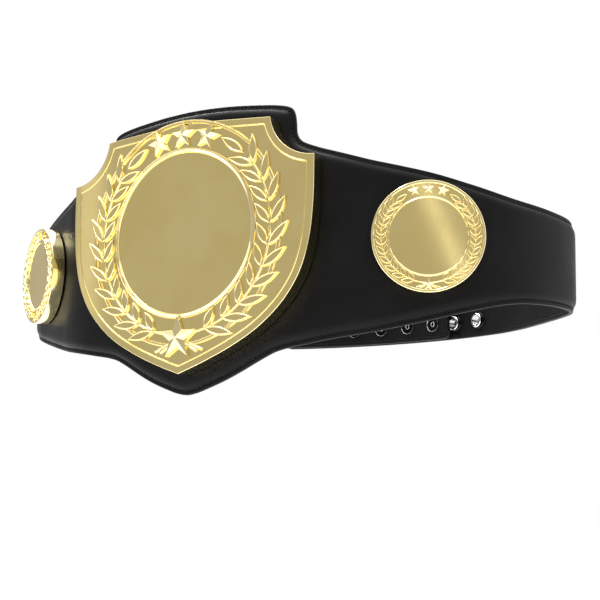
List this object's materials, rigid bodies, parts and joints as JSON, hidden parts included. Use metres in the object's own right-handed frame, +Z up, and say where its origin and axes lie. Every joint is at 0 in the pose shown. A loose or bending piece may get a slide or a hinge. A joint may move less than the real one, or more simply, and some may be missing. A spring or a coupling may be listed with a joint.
{
  "type": "championship title belt",
  "caption": "Worn title belt: padded black leather strap closed at the back with snaps, carrying a shield front plate and round side plates with raised wreaths and stars.",
  "frame": {"origin": "middle of the waist loop, half way up the strap at the back, where the wearer's waist axis passes", "axes": "+X to the wearer's left, +Y to the wearer's back, +Z up; the shield plate faces -Y"},
  "size_m": [0.4518, 0.2664, 0.1997],
  "materials": {
    "leather": "smooth satin, stitched edges",
    "gold": "satin faces with polished bevels",
    "nickel": "polished nickel",
    "black_metal": "black enamel, semi-gloss"
  },
  "bodies": {
    "root": {"shield_plate": "gold", "side_plate_left": "gold", "side_plate_right": "gold", "snap_socket_lower_1": "nickel", "snap_socket_lower_2": "nickel", "snap_socket_lower_3": "nickel", "snap_socket_lower_4": "nickel", "snap_socket_lower_5": "nickel", "snap_socket_lower_6": "nickel", "snap_socket_upper_1": "nickel", "snap_socket_upper_2": "nickel", "snap_socket_upper_3": "nickel", "snap_socket_upper_4": "nickel", "snap_socket_upper_5": "nickel", "snap_socket_upper_6": "nickel", "snap_stud_lower_1": "black_metal", "snap_stud_lower_2": "black_metal", "snap_stud_lower_3": "black_metal", "snap_stud_lower_4": "black_metal", "snap_stud_upper_1": "black_metal", "snap_stud_upper_2": "black_metal", "snap_stud_upper_3": "black_metal", "snap_stud_upper_4": "black_metal", "strap": "leather"}
  },
  "joints": []
}
